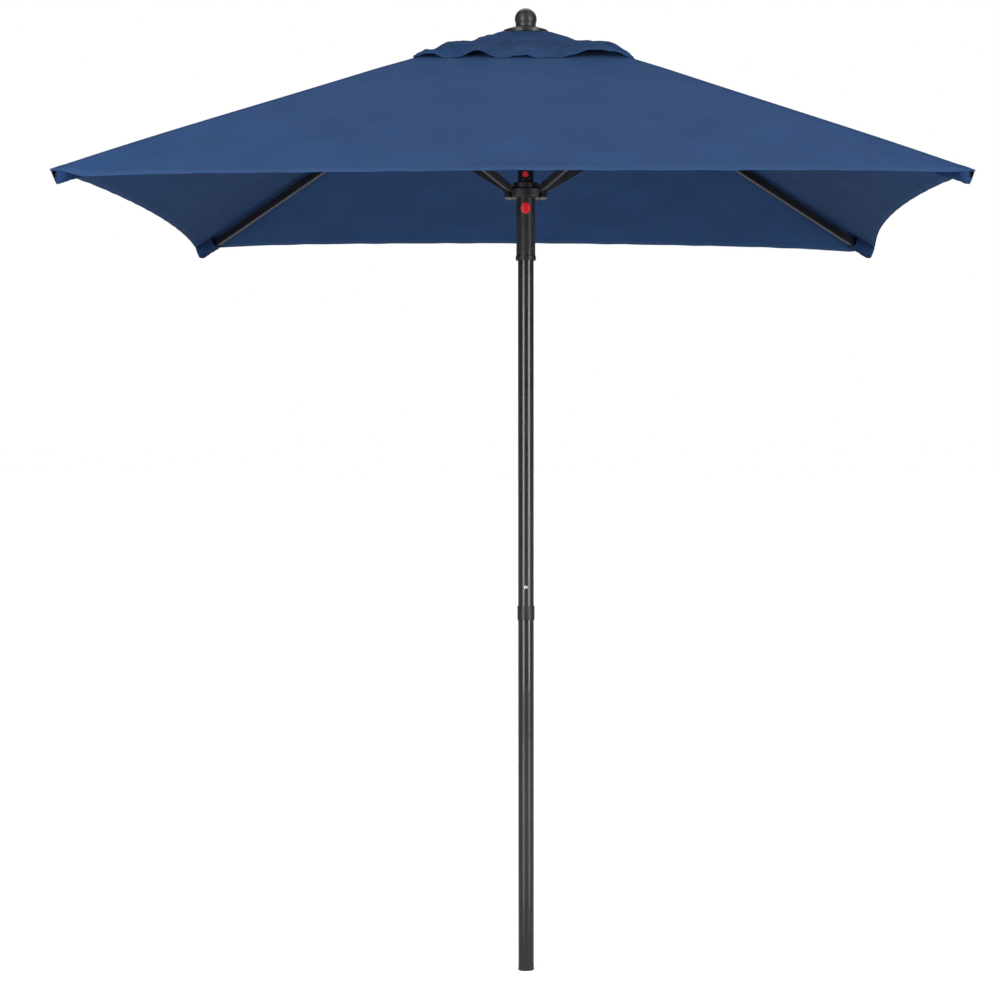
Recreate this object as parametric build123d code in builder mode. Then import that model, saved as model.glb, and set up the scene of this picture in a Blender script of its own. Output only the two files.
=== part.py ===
from build123d import *
import math
import os

# Square push-up patio umbrella: two-piece pole, four straight ribs on the diagonals,
# four struts, a sliding runner, a four-gore canopy with a vent cap, and a screw-on finial.
# Millimetres, +Z up, origin on the pole's axis at its foot. -Y is the front.

os.makedirs("parts", exist_ok=True)

# ---- driving dimensions -------------------------------------------------------------
canopy_width = 1890.0        # hem to hem, corner to corner along one side
hem_bow = 30.0               # how far the middle of each hem pulls in between its corners
rib_slope = math.atan(0.352)  # ribs fall by this angle from the horizontal
apex_z = 2297.0              # where the ridge lines of the fabric would meet on the axis
fabric_t = 1.2               # thickness of the fabric panels
seam_gap = 0.8               # each panel stops this far from a ridge or a gore's mid-line
vent_half = 180.0            # half width of the opening under the vent cap
cap_half = 252.0             # half width of the vent cap
cap_lift = 3.0               # the vent cap lies this far above the canopy
cap_bore_r = 55.0            # the cap passes under the finial's skirt at this radius

pole_r = 19.05               # 38.1 mm tube
pole_wall = 1.5
joint_z = 869.0              # where the two pole sections meet
neck_r = 17.25               # swaged neck of the lower section, inside the upper section
neck_length = 100.0
shoulder_height = 17.0       # the lower section tapers to its neck over this height
upper_pole_top = 2262.0
collar_r = 20.9
collar_low = 852.0
collar_high = 886.0
collar_edge = 0.9            # rounding of the collar's rims

snap_z = 932.0               # silver snap button that locks the two sections
snap_r = 4.25
snap_gap = 0.25              # clearance round the snap button in its holes
snap_proud = 2.4             # the snap button stands this far out of the pole
latch_z = 1930.0             # upper red button, on the pole
latch_r = 7.0
latch_gap = 0.3
latch_proud = 2.6
grip_button_z = 1848.0       # lower red button, in the runner
grip_button_width = 24.0
grip_button_height = 27.0
grip_button_gap = 0.4

rib_width = 12.0
rib_depth = 20.0
root_half = 5.0              # half depth of a rib's flattened root
root_length = 20.0
strut_width = 10.0
strut_depth = 18.0
tube_wall = 1.0
pin_r = 2.5
pin_play = 0.05              # radial clearance of a hinge pin in its hole
past = 5.0                   # a cut runs this far past the last face it goes through
overlap = 2.0                # a cut starts this far before the first face it goes through

hinge_radius = 40.0          # radius of the hinge pins in the top hub and in the runner
hub_pin_z = 2268.0
runner_pin_z = 1888.0
strut_tan = 0.503            # rise of an open strut over its horizontal run
bracket_drop = 25.0          # the bracket pin hangs this far below the rib's centre line
rib_tip_s = 1359.0           # rib length from the hub pin to the end of its tip
tip_length = 30.0

runner_bore_r = 19.45
sleeve_r = 23.0
sleeve_low = 1735.0
sleeve_high = 1873.0
disc_r = 52.0
disc_high = 1894.0
drum_r = 30.75
drum_high = 1911.0
ring_r = 24.5
ring_low = 1723.0

skirt_r = 53.5
skirt_low = 2270.0
skirt_rim_high = 2278.5
skirt_top = 2288.0
skirt_top_r = 25.1
skirt_wall = 2.2
skirt_lip = 4.0              # height of the skirt's straight inner rim
skirt_seat_r = 27.0          # the skirt sits on the washer inside this radius
skirt_edge = 0.8
ball_r = 26.5
ball_neck_r = 24.5
ball_z = 2306.0

corners = {"front_left": 225.0, "front_right": 315.0, "back_right": 45.0, "back_left": 135.0}


# ---- linkage worked out from the driving dimensions -------------------------------------
strut_angle = math.atan(strut_tan)
rise_to_meet = hub_pin_z - bracket_drop * math.cos(rib_slope) - runner_pin_z
rise_to_meet += bracket_drop * math.sin(rib_slope) * strut_tan
bracket_s = rise_to_meet / (math.sin(rib_slope) + math.cos(rib_slope) * strut_tan)
bracket_run = bracket_s * math.cos(rib_slope) - bracket_drop * math.sin(rib_slope)
strut_length = bracket_run / math.cos(strut_angle)


def along(angle_deg, radius, height):
    """A point at that azimuth, radius and height."""
    angle = math.radians(angle_deg)
    return Vector(radius * math.cos(angle), radius * math.sin(angle), height)


def front_plane(height):
    """Upright plane through the pole's axis whose normal points to the front (-Y)."""
    return Plane(origin=(0, 0, height), x_dir=(1, 0, 0), z_dir=(0, -1, 0))


def rib_side_plane(angle_deg):
    """Upright plane through a rib: X runs out along the rib from its hub pin, Y is up from it."""
    angle = math.radians(angle_deg)
    out = Vector(
        math.cos(rib_slope) * math.cos(angle),
        math.cos(rib_slope) * math.sin(angle),
        -math.sin(rib_slope),
    )
    side = Vector(math.sin(angle), -math.cos(angle), 0)
    return Plane(origin=along(angle_deg, hinge_radius, hub_pin_z), x_dir=out, z_dir=side)


def strut_side_plane(angle_deg):
    """Upright plane through an open strut: X runs in and down from its bracket pin, Y is up."""
    angle = math.radians(angle_deg)
    inward = Vector(
        -math.cos(strut_angle) * math.cos(angle),
        -math.cos(strut_angle) * math.sin(angle),
        -math.sin(strut_angle),
    )
    side = Vector(-math.sin(angle), math.cos(angle), 0)
    pin = along(angle_deg, hinge_radius + bracket_run, runner_pin_z + bracket_run * strut_tan)
    return Plane(origin=pin, x_dir=inward, z_dir=side)


def gore_plane(angle_deg, lift):
    """Plane of the gore centred on that azimuth: X runs down its mid-line from the apex."""
    angle = math.radians(angle_deg)
    fall = math.tan(rib_slope) * math.sqrt(2)
    down = Vector(math.cos(angle), math.sin(angle), -fall).normalized()
    up = Vector(math.cos(angle) * fall, math.sin(angle) * fall, 1).normalized()
    return Plane(origin=Vector(0, 0, apex_z + lift), x_dir=down, z_dir=up)


# In a gore's own plane: distance down the mid-line for each unit of horizontal distance,
# and the sideways direction of its two ridge seams.
down_per_run = math.sqrt(1 + 2 * math.tan(rib_slope) ** 2)
seam_angle = math.atan2(1.0, down_per_run)


def half_gore(angle_deg, side, inner_half, outer_half, bow, lift):
    """One half of a gore, from its mid-line to the seam on that side (+1 or -1)."""
    inner = inner_half * down_per_run
    outer = outer_half * down_per_run
    seam_shift = seam_gap / math.cos(seam_angle)
    near_seam = inner_half - seam_shift
    far_seam = outer_half - seam_shift
    with BuildPart() as panel:
        with BuildSketch(gore_plane(angle_deg, lift)):
            with BuildLine():
                start = (inner, side * seam_gap)
                seam_start = (inner, side * near_seam)
                corner = (outer, side * far_seam)
                if bow > 0:
                    radius = (outer_half**2 + bow**2) / (2 * bow)
                    quarter = outer_half / 2
                    dip = radius - math.sqrt(radius**2 - quarter**2)
                    middle = (outer - bow + dip, side * quarter)
                    hem_end = (outer - bow, side * seam_gap)
                    ThreePointArc(corner, middle, hem_end)
                else:
                    hem_end = (outer, side * seam_gap)
                    Line(corner, hem_end)
                Line(hem_end, start)
                Line(start, seam_start)
                Line(seam_start, corner)
            make_face()
        extrude(amount=-fabric_t)
    return panel.part


# ---- pole ---------------------------------------------------------------------------------
with BuildPart() as lower_pole:
    with BuildSketch(Plane.XY):
        Circle(pole_r)
        Circle(pole_r - pole_wall, mode=Mode.SUBTRACT)
    extrude(amount=joint_z - shoulder_height)
    with BuildSketch(Plane.XY.offset(joint_z - shoulder_height)):
        Circle(pole_r)
    with BuildSketch(Plane.XY.offset(joint_z)):
        Circle(neck_r)
    loft()
    with BuildSketch(Plane.XY.offset(joint_z)):
        Circle(neck_r)
    extrude(amount=neck_length)
    with BuildSketch(Plane.XY.offset(joint_z - shoulder_height - overlap)):
        Circle(neck_r - pole_wall)
    extrude(amount=neck_length + shoulder_height + overlap, mode=Mode.SUBTRACT)
    with BuildSketch(front_plane(snap_z)):
        Circle(snap_r + snap_gap)
    extrude(amount=pole_r + past, mode=Mode.SUBTRACT)
lower_pole.part.label = "lower_pole"
export_step(lower_pole.part, "parts/lower_pole.step")

with BuildPart() as upper_pole:
    with BuildSketch(Plane.XY.offset(joint_z)):
        Circle(pole_r)
        Circle(pole_r - pole_wall, mode=Mode.SUBTRACT)
    extrude(amount=upper_pole_top - joint_z)
    with BuildSketch(front_plane(snap_z)):
        Circle(snap_r + snap_gap)
    extrude(amount=pole_r + past, mode=Mode.SUBTRACT)
    with BuildSketch(front_plane(latch_z)):
        Circle(latch_r + latch_gap)
    extrude(amount=pole_r + past, mode=Mode.SUBTRACT)
upper_pole.part.label = "upper_pole"
export_step(upper_pole.part, "parts/upper_pole.step")

with BuildPart() as pole_joint_collar:
    with BuildSketch(Plane.XY.offset(collar_low)):
        Circle(collar_r)
        Circle(pole_r + pin_play, mode=Mode.SUBTRACT)
    extrude(amount=collar_high - collar_low)
    rim_edges = pole_joint_collar.edges().filter_by(GeomType.CIRCLE)
    outer_rims = [edge for edge in rim_edges if abs(edge.radius - collar_r) < 0.01]
    fillet(outer_rims, collar_edge)
pole_joint_collar.part.label = "pole_joint_collar"
export_step(pole_joint_collar.part, "parts/pole_joint_collar.step")

foot_plug_height = 24.0
foot_plug_floor = 4.0
foot_plug_wall = 3.0
with BuildPart() as foot_plug:
    with BuildSketch(Plane.XY):
        Circle(pole_r - pole_wall - pin_play)
    extrude(amount=foot_plug_height)
    with BuildSketch(Plane.XY.offset(foot_plug_floor)):
        Circle(pole_r - pole_wall - foot_plug_wall)
    extrude(amount=foot_plug_height, mode=Mode.SUBTRACT)
foot_plug.part.label = "foot_plug"
export_step(foot_plug.part, "parts/foot_plug.step")


def round_button(height, stem_r, nose_y, flange_r, flange_y, name):
    """A button with a domed nose and an inner flange, pushed in along +Y."""
    flange_t = 1.4
    nose_edge = 1.2
    with BuildPart() as button:
        with BuildSketch(front_plane(height).offset(flange_y)):
            Circle(flange_r)
        extrude(amount=flange_t)
        with BuildSketch(front_plane(height).offset(flange_y)):
            Circle(stem_r)
        extrude(amount=nose_y - flange_y)
        nose = button.faces().sort_by(Axis.Y)[0]
        fillet(nose.edges(), nose_edge)
    button.part.label = name
    export_step(button.part, f"parts/{name}.step")


snap_flange_y = 12.6
latch_flange_y = 13.4
snap_flange_r = 5.6
latch_flange_r = 8.2
snap_nose_y = pole_r + snap_proud
latch_nose_y = pole_r + latch_proud
round_button(snap_z, snap_r, snap_nose_y, snap_flange_r, snap_flange_y, "snap_button")
round_button(latch_z, latch_r, latch_nose_y, latch_flange_r, latch_flange_y, "pole_latch_button")


def bow_spring(height, width, reach, touch_y, back_y, name):
    """A bent strip inside the tube: one arm behind the button, one against the far wall."""
    strip = 0.7
    arm = 8.0
    bend_rise = 2.1
    with BuildPart() as spring:
        with BuildSketch(Plane.YZ.offset(-width / 2)):
            with BuildLine():
                Polyline(
                    (-touch_y, height + arm),
                    (-touch_y, height - arm),
                    (0, height - reach),
                    (back_y, height - arm),
                    (back_y, height + arm),
                    (back_y - strip, height + arm),
                    (back_y - strip, height - arm),
                    (0, height - reach + bend_rise),
                    (-touch_y + strip, height - arm),
                    (-touch_y + strip, height + arm),
                    close=True,
                )
            make_face()
        extrude(amount=width)
    spring.part.label = name
    export_step(spring.part, f"parts/{name}.step")


bow_spring(
    snap_z, width=7.0, reach=34.0, touch_y=snap_flange_y - pin_play, back_y=15.0,
    name="snap_button_spring",
)
bow_spring(
    latch_z, width=9.0, reach=38.0, touch_y=latch_flange_y - pin_play, back_y=16.6,
    name="latch_button_spring",
)

# ---- top hub ------------------------------------------------------------------------------
hub_r = 48.0
hub_low = 2257.0
hub_sleeve_low = 2222.0
hub_sleeve_r = 24.0
hub_crown_r = 28.0
hub_crown_z = 2279.0
hub_bore_top = 2264.0
hub_pin_half = 12.0          # half length of a hinge pin
hub_screw_z = 2234.0
hub_screw_r = 2.05
hub_screw_head_r = 3.6
hub_screw_head_t = 1.8
hub_screw_head_edge = 1.0
hub_screw_tip_gap = 0.2      # the screw's tip stops this far off the pole
stud_r = 4.0
stud_hole_r = stud_r + 0.1
slot_play = 0.8
rib_slot = rib_width + slot_play
slot_inner = 29.0
slot_cut = 40.0              # length and height of the cut that makes a slot

with BuildPart() as top_hub:
    with BuildSketch(Plane.XZ):
        with BuildLine():
            Polyline(
                (pole_r + pin_play, hub_sleeve_low),
                (hub_sleeve_r, hub_sleeve_low),
                (hub_sleeve_r, hub_low),
                (hub_r, hub_low),
                (hub_r, hub_pin_z),
                (hub_crown_r, hub_crown_z),
                (stud_hole_r, hub_crown_z),
                (stud_hole_r, hub_bore_top),
                (pole_r + pin_play, hub_bore_top),
                close=True,
            )
        make_face()
    revolve(axis=Axis.Z)
    for corner_angle in corners.values():
        slot_middle = along(corner_angle, slot_inner + slot_cut / 2, hub_low - overlap)
        slot_plane = Plane(
            origin=slot_middle, x_dir=along(corner_angle, 1, 0), z_dir=(0, 0, 1)
        )
        with BuildSketch(slot_plane):
            Rectangle(slot_cut, rib_slot)
        extrude(amount=slot_cut, mode=Mode.SUBTRACT)
        side = rib_side_plane(corner_angle).z_dir
        pin_plane = Plane(origin=along(corner_angle, hinge_radius, hub_pin_z), z_dir=side)
        with BuildSketch(pin_plane):
            Circle(pin_r)
        extrude(amount=hub_pin_half, both=True, mode=Mode.SUBTRACT)
    with BuildSketch(front_plane(hub_screw_z)):
        Circle(hub_screw_r + pin_play)
    extrude(amount=hub_sleeve_r + past, both=True, mode=Mode.SUBTRACT)
top_hub.part.label = "top_hub"
export_step(top_hub.part, "parts/top_hub.step")

with BuildPart() as hub_hinge_pins:
    for corner_angle in corners.values():
        side = rib_side_plane(corner_angle).z_dir
        pin_plane = Plane(origin=along(corner_angle, hinge_radius, hub_pin_z), z_dir=side)
        with BuildSketch(pin_plane):
            Circle(pin_r)
        extrude(amount=hub_pin_half, both=True)
hub_hinge_pins.part.label = "hub_hinge_pins"
export_step(hub_hinge_pins.part, "parts/hub_hinge_pins.step")

with BuildPart() as hub_screws:
    for turn in (1, -1):
        head_plane = Plane(origin=(0, -turn * hub_sleeve_r, hub_screw_z), z_dir=(0, -turn, 0))
        with BuildSketch(head_plane):
            Circle(hub_screw_head_r)
        extrude(amount=hub_screw_head_t)
        with BuildSketch(head_plane):
            Circle(hub_screw_r)
        extrude(amount=-(hub_sleeve_r - pole_r - hub_screw_tip_gap))
        heads = hub_screws.faces().sort_by(Axis.Y)
        top_face = heads[0] if turn == 1 else heads[-1]
        fillet(top_face.edges(), hub_screw_head_edge)
hub_screws.part.label = "hub_screws"
export_step(hub_screws.part, "parts/hub_screws.step")

# ---- finial -------------------------------------------------------------------------------
stud_low = 2268.0
stud_high = 2304.0
stud_edge = 0.8
with BuildPart() as finial_stud:
    with BuildSketch(Plane.XY.offset(stud_low)):
        Circle(stud_r)
    extrude(amount=stud_high - stud_low)
    ends = finial_stud.edges().filter_by(GeomType.CIRCLE)
    chamfer(ends, stud_edge)
finial_stud.part.label = "finial_stud"
export_step(finial_stud.part, "parts/finial_stud.step")

washer_high = 2281.0
washer_r = 24.0
with BuildPart() as canopy_clamp_washer:
    with BuildSketch(Plane.XY.offset(hub_crown_z)):
        Circle(washer_r)
        Circle(stud_hole_r, mode=Mode.SUBTRACT)
    extrude(amount=washer_high - hub_crown_z)
canopy_clamp_washer.part.label = "canopy_clamp_washer"
export_step(canopy_clamp_washer.part, "parts/canopy_clamp_washer.step")

with BuildPart() as finial_skirt:
    with BuildSketch(Plane.XZ):
        with BuildLine():
            Polyline(
                (stud_hole_r, washer_high),
                (skirt_seat_r, washer_high),
                (skirt_r - skirt_wall, skirt_low + skirt_lip),
                (skirt_r - skirt_wall, skirt_low),
                (skirt_r, skirt_low),
                (skirt_r, skirt_rim_high),
                (skirt_top_r, skirt_top),
                (stud_hole_r, skirt_top),
                close=True,
            )
        make_face()
    revolve(axis=Axis.Z)
    rims = finial_skirt.edges().filter_by(GeomType.CIRCLE)
    fillet([edge for edge in rims if abs(edge.radius - skirt_r) < 0.01], skirt_edge)
finial_skirt.part.label = "finial_skirt"
export_step(finial_skirt.part, "parts/finial_skirt.step")

with BuildPart() as finial_ball:
    with Locations((0, 0, ball_z)):
        Sphere(ball_r)
    with BuildSketch(Plane.XY.offset(skirt_top)):
        Circle(ball_neck_r)
    extrude(amount=ball_z - skirt_top)
    split(bisect_by=Plane.XY.offset(skirt_top), keep=Keep.TOP)
    with BuildSketch(Plane.XY.offset(skirt_top)):
        Circle(stud_r)
    extrude(amount=stud_high - skirt_top, mode=Mode.SUBTRACT)
finial_ball.part.label = "finial_ball"
export_step(finial_ball.part, "parts/finial_ball.step")

# ---- runner -------------------------------------------------------------------------------
strut_slot_play = 1.0
strut_slot = strut_width + strut_slot_play
strut_slot_inner = 31.6
groove_half_span = 10.8      # the grooves for the strut feet's short pins reach this far out
groove_radial = 6.9
groove_radius = 40.6
disc_edge = 2.0
drum_edge = 2.5

with BuildPart() as runner_hub:
    with BuildSketch(Plane.XY.offset(sleeve_high)):
        Circle(disc_r)
    extrude(amount=disc_high - sleeve_high)
    disc_edges = runner_hub.edges().filter_by(GeomType.CIRCLE)
    fillet(disc_edges, disc_edge)
    with BuildSketch(Plane.XY.offset(sleeve_high)):
        Circle(drum_r)
    extrude(amount=drum_high - sleeve_high)
    crown = runner_hub.edges().filter_by(GeomType.CIRCLE).group_by(Axis.Z)[-1]
    fillet(crown, drum_edge)
    with BuildSketch(Plane.XY.offset(sleeve_high)):
        Circle(runner_bore_r)
    extrude(amount=drum_high - sleeve_high, mode=Mode.SUBTRACT)
    for corner_angle in corners.values():
        radial = along(corner_angle, 1, 0)
        slot_plane = Plane(
            origin=along(corner_angle, strut_slot_inner + slot_cut / 2, sleeve_high),
            x_dir=radial,
            z_dir=(0, 0, 1),
        )
        with BuildSketch(slot_plane):
            Rectangle(slot_cut, strut_slot)
        extrude(amount=slot_cut, mode=Mode.SUBTRACT)
        groove_plane = Plane(
            origin=along(corner_angle, groove_radius, sleeve_high), x_dir=radial, z_dir=(0, 0, 1)
        )
        with BuildSketch(groove_plane):
            Rectangle(groove_radial, 2 * groove_half_span)
        extrude(amount=slot_cut, mode=Mode.SUBTRACT)
runner_hub.part.label = "runner_hub"
export_step(runner_hub.part, "parts/runner_hub.step")

cavity_r = 21.5
liner_height = 22.0
upper_liner_height = 8.0
flute_count = 20
flute_r = 2.0
flute_depth = 0.8
front_angle = 270.0          # no flute here, where the wall is thin over the spring's channel
grip_low = 1741.0
grip_high = 1824.5
channel_low = 1796.0         # channel in the sleeve's bore for the button's leaf spring
channel_high = 1862.0
channel_width = 9.0
channel_inner_y = -17.0
channel_outer_y = -22.6
with BuildPart() as runner_sleeve:
    with BuildSketch(Plane.XY.offset(sleeve_low)):
        Circle(sleeve_r)
        Circle(cavity_r, mode=Mode.SUBTRACT)
    extrude(amount=sleeve_high - sleeve_low)
    for index in range(flute_count):
        turn = 360.0 * index / flute_count
        if turn == front_angle:
            continue
        with BuildSketch(Plane.XY.offset(grip_low)):
            with Locations(along(turn, sleeve_r + flute_r - flute_depth, 0)):
                Circle(flute_r)
        extrude(amount=grip_high - grip_low, mode=Mode.SUBTRACT)
    with BuildSketch(front_plane(grip_button_z)):
        Ellipse(grip_button_width / 2 + grip_button_gap, grip_button_height / 2 + grip_button_gap)
    extrude(amount=sleeve_r + past, mode=Mode.SUBTRACT)
    with BuildSketch(Plane.XY.offset(channel_low)):
        with Locations((0, (channel_inner_y + channel_outer_y) / 2)):
            Rectangle(channel_width, channel_inner_y - channel_outer_y)
    extrude(amount=channel_high - channel_low, mode=Mode.SUBTRACT)
runner_sleeve.part.label = "runner_sleeve"
export_step(runner_sleeve.part, "parts/runner_sleeve.step")

with BuildPart() as runner_liner:
    for low, height in (
        (sleeve_low, liner_height),
        (sleeve_high - upper_liner_height, upper_liner_height),
    ):
        with BuildSketch(Plane.XY.offset(low)):
            Circle(cavity_r - pin_play)
            Circle(runner_bore_r, mode=Mode.SUBTRACT)
        extrude(amount=height)
runner_liner.part.label = "runner_liner"
export_step(runner_liner.part, "parts/runner_liner.step")

ring_edge = 1.5
with BuildPart() as runner_bottom_ring:
    with BuildSketch(Plane.XY.offset(ring_low)):
        Circle(ring_r)
        Circle(runner_bore_r, mode=Mode.SUBTRACT)
    extrude(amount=sleeve_low - ring_low)
    ring_edges = runner_bottom_ring.edges().filter_by(GeomType.CIRCLE)
    fillet([edge for edge in ring_edges if abs(edge.radius - ring_r) < 0.01], ring_edge)
runner_bottom_ring.part.label = "runner_bottom_ring"
export_step(runner_bottom_ring.part, "parts/runner_bottom_ring.step")

button_back_r = 22.4
button_face_r = 25.8
button_face_edge = 0.9
button_trim = 30.0           # the trimming cylinders reach this far above and below the button
with BuildPart() as runner_button:
    with BuildSketch(front_plane(grip_button_z)):
        Ellipse(grip_button_width / 2, grip_button_height / 2)
    extrude(amount=button_face_r + overlap)
    with BuildSketch(Plane.XY.offset(grip_button_z - button_trim)):
        Circle(button_face_r + grip_button_width)
        Circle(button_face_r, mode=Mode.SUBTRACT)
    extrude(amount=2 * button_trim, mode=Mode.SUBTRACT)
    with BuildSketch(Plane.XY.offset(grip_button_z - button_trim)):
        Circle(button_back_r)
    extrude(amount=2 * button_trim, mode=Mode.SUBTRACT)
    face = runner_button.faces().sort_by(Axis.Y)[0]
    fillet(face.edges(), button_face_edge)
runner_button.part.label = "runner_button"
export_step(runner_button.part, "parts/runner_button.step")

leaf_low = 1800.0
leaf_length = 54.0
leaf_width = 5.0
leaf_t = 0.6
leaf_y = -21.75
with BuildPart() as runner_button_spring:
    with BuildSketch(Plane.XY.offset(leaf_low)):
        with Locations((0, leaf_y)):
            Rectangle(leaf_width, leaf_t)
    extrude(amount=leaf_length)
runner_button_spring.part.label = "runner_button_spring"
export_step(runner_button_spring.part, "parts/runner_button_spring.step")


# ---- ribs, struts and canopy, one set to each corner --------------------------------------
root_taper = 12.0            # a rib's root widens to its full depth over this length
rib_edge = 1.8
rib_bore_start = 34.0        # the rib is hollow from this far out from its hub pin
bore_edge = 0.9
long_edge = 200.0            # edges longer than this run along the whole rib
rivet_r = 2.0
rivet_drop = 1.0             # the bracket's rivet sits this far below the rib's centre line
tip_nose_edge = 1.7
tip_plug_edge = 0.8
tip_plug_length = 22.0
bracket_gap = 0.1
bracket_t = 1.6
ear_half = 13.0              # half width of a bracket's ears beside the rib
ear_top = 5.0
ear_shoulder = -12.0         # the ears narrow towards the pin from this height
ear_nose_r = 7.0
web_clearing = 60.0          # the cuts that leave only the bracket's web are this large
pin_head_t = 1.2
pin_head_r = 4.0
rivet_head_r = 3.4
strut_edge = 1.6
strut_bore_start = 14.0
strut_bore_edge = 0.7
foot_start = 28.0            # the strut's tube ends this far before the runner pin
foot_half = 6.0              # half depth of the foot's rounded tongue
foot_flare = 1.5
foot_plug_length = 20.0
foot_plug_edge = 0.6
foot_pin_play = 0.8          # the short pins stop this far inside the ends of their grooves


def make_rib_bar(angle_deg, name):
    """Steel tube with a flattened, rounded root that hinges on the hub pin."""
    plane = rib_side_plane(angle_deg)
    end = rib_tip_s - tip_length
    half = rib_depth / 2
    with BuildPart() as bar:
        with BuildSketch(plane):
            with BuildLine():
                Polyline(
                    (0, root_half),
                    (root_length, root_half),
                    (root_length + root_taper, half),
                    (end, half),
                    (end, -half),
                    (root_length + root_taper, -half),
                    (root_length, -root_half),
                    (0, -root_half),
                )
                ThreePointArc((0, -root_half), (-root_half, 0), (0, root_half))
            make_face()
        extrude(amount=rib_width / 2, both=True)
        long_edges = bar.edges().filter_by(Axis(plane.origin, plane.x_dir))
        fillet([edge for edge in long_edges if edge.length > long_edge], rib_edge)
        section = Plane(
            origin=plane.from_local_coords((rib_bore_start, 0, 0)),
            x_dir=plane.z_dir,
            z_dir=plane.x_dir,
        )
        with BuildSketch(section):
            RectangleRounded(rib_width - 2 * tube_wall, rib_depth - 2 * tube_wall, bore_edge)
        extrude(amount=end, mode=Mode.SUBTRACT)
        with BuildSketch(plane):
            Circle(pin_r + pin_play)
            with Locations((bracket_s, -rivet_drop)):
                Circle(rivet_r)
        extrude(amount=rib_width, both=True, mode=Mode.SUBTRACT)
    bar.part.label = name
    export_step(bar.part, f"parts/{name}.step")


def make_rib_tip(angle_deg, name):
    """Plastic end cap with a rounded nose; its plug fits inside the tube."""
    plane = rib_side_plane(angle_deg)
    end = rib_tip_s - tip_length
    section = Plane(
        origin=plane.from_local_coords((end, 0, 0)), x_dir=plane.z_dir, z_dir=plane.x_dir
    )
    play = tube_wall + pin_play
    with BuildPart() as tip:
        with BuildSketch(section):
            RectangleRounded(rib_width, rib_depth, rib_edge)
        extrude(amount=tip_length)
        nose = tip.faces().sort_by(Axis(section.origin, section.z_dir))[-1]
        fillet(nose.edges(), tip_nose_edge)
        with BuildSketch(section):
            RectangleRounded(rib_width - 2 * play, rib_depth - 2 * play, tip_plug_edge)
        extrude(amount=-tip_plug_length)
    tip.part.label = name
    export_step(tip.part, f"parts/{name}.step")


def make_strut_bracket(angle_deg, name):
    """Folded steel bracket: two ears beside the rib, a web below it, holes for rivet and pin."""
    plane = rib_side_plane(angle_deg)
    inside = rib_width / 2 + bracket_gap
    outside = inside + bracket_t
    left, right = bracket_s - ear_half, bracket_s + ear_half
    nose_left, nose_right = bracket_s - ear_nose_r, bracket_s + ear_nose_r
    with BuildPart() as bracket:
        with BuildSketch(plane):
            with BuildLine():
                Line((left, ear_top), (right, ear_top))
                Line((right, ear_top), (right, ear_shoulder))
                Line((right, ear_shoulder), (nose_right, -bracket_drop))
                ThreePointArc(
                    (nose_right, -bracket_drop),
                    (bracket_s, -bracket_drop - ear_nose_r),
                    (nose_left, -bracket_drop),
                )
                Line((nose_left, -bracket_drop), (left, ear_shoulder))
                Line((left, ear_shoulder), (left, ear_top))
            make_face()
        extrude(amount=outside, both=True)
        web_top = -rib_depth / 2 - bracket_gap
        with BuildSketch(plane):
            with Locations((bracket_s, web_top + web_clearing / 2)):
                Rectangle(web_clearing, web_clearing)
            with Locations((bracket_s, web_top - bracket_t - web_clearing / 2)):
                Rectangle(web_clearing, web_clearing)
        extrude(amount=inside, both=True, mode=Mode.SUBTRACT)
        with BuildSketch(plane):
            with Locations((bracket_s, -bracket_drop)):
                Circle(pin_r)
            with Locations((bracket_s, -rivet_drop)):
                Circle(rivet_r)
        extrude(amount=rib_width, both=True, mode=Mode.SUBTRACT)
    bracket.part.label = name
    export_step(bracket.part, f"parts/{name}.step")


def make_cross_pin(angle_deg, s, drop, radius, head_r, name):
    """A headed pin or rivet straight across the rib at that distance along it."""
    plane = rib_side_plane(angle_deg)
    reach = rib_width / 2 + bracket_gap + bracket_t
    with BuildPart() as pin:
        with BuildSketch(plane):
            with Locations((s, -drop)):
                Circle(radius)
        extrude(amount=reach, both=True)
        for turn in (1, -1):
            with BuildSketch(plane.offset(turn * reach)):
                with Locations((s, -drop)):
                    Circle(head_r)
            extrude(amount=turn * pin_head_t)
    pin.part.label = name
    export_step(pin.part, f"parts/{name}.step")


def make_strut_bar(angle_deg, name):
    """Steel tube with a flattened, rounded top end that hinges on the bracket pin."""
    plane = strut_side_plane(angle_deg)
    half = strut_depth / 2
    end = strut_length - foot_start
    with BuildPart() as bar:
        with BuildSketch(plane):
            with BuildLine():
                Line((0, half), (end, half))
                Line((end, half), (end, -half))
                Line((end, -half), (0, -half))
                ThreePointArc((0, -half), (-half, 0), (0, half))
            make_face()
        extrude(amount=strut_width / 2, both=True)
        long_edges = bar.edges().filter_by(Axis(plane.origin, plane.x_dir))
        fillet(long_edges, strut_edge)
        section = Plane(
            origin=plane.from_local_coords((strut_bore_start, 0, 0)),
            x_dir=plane.z_dir,
            z_dir=plane.x_dir,
        )
        bore_width, bore_depth = strut_width - 2 * tube_wall, strut_depth - 2 * tube_wall
        with BuildSketch(section):
            RectangleRounded(bore_width, bore_depth, strut_bore_edge)
        extrude(amount=end, mode=Mode.SUBTRACT)
        with BuildSketch(plane):
            Circle(pin_r + pin_play)
        extrude(amount=strut_width, both=True, mode=Mode.SUBTRACT)
    bar.part.label = name
    export_step(bar.part, f"parts/{name}.step")


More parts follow.
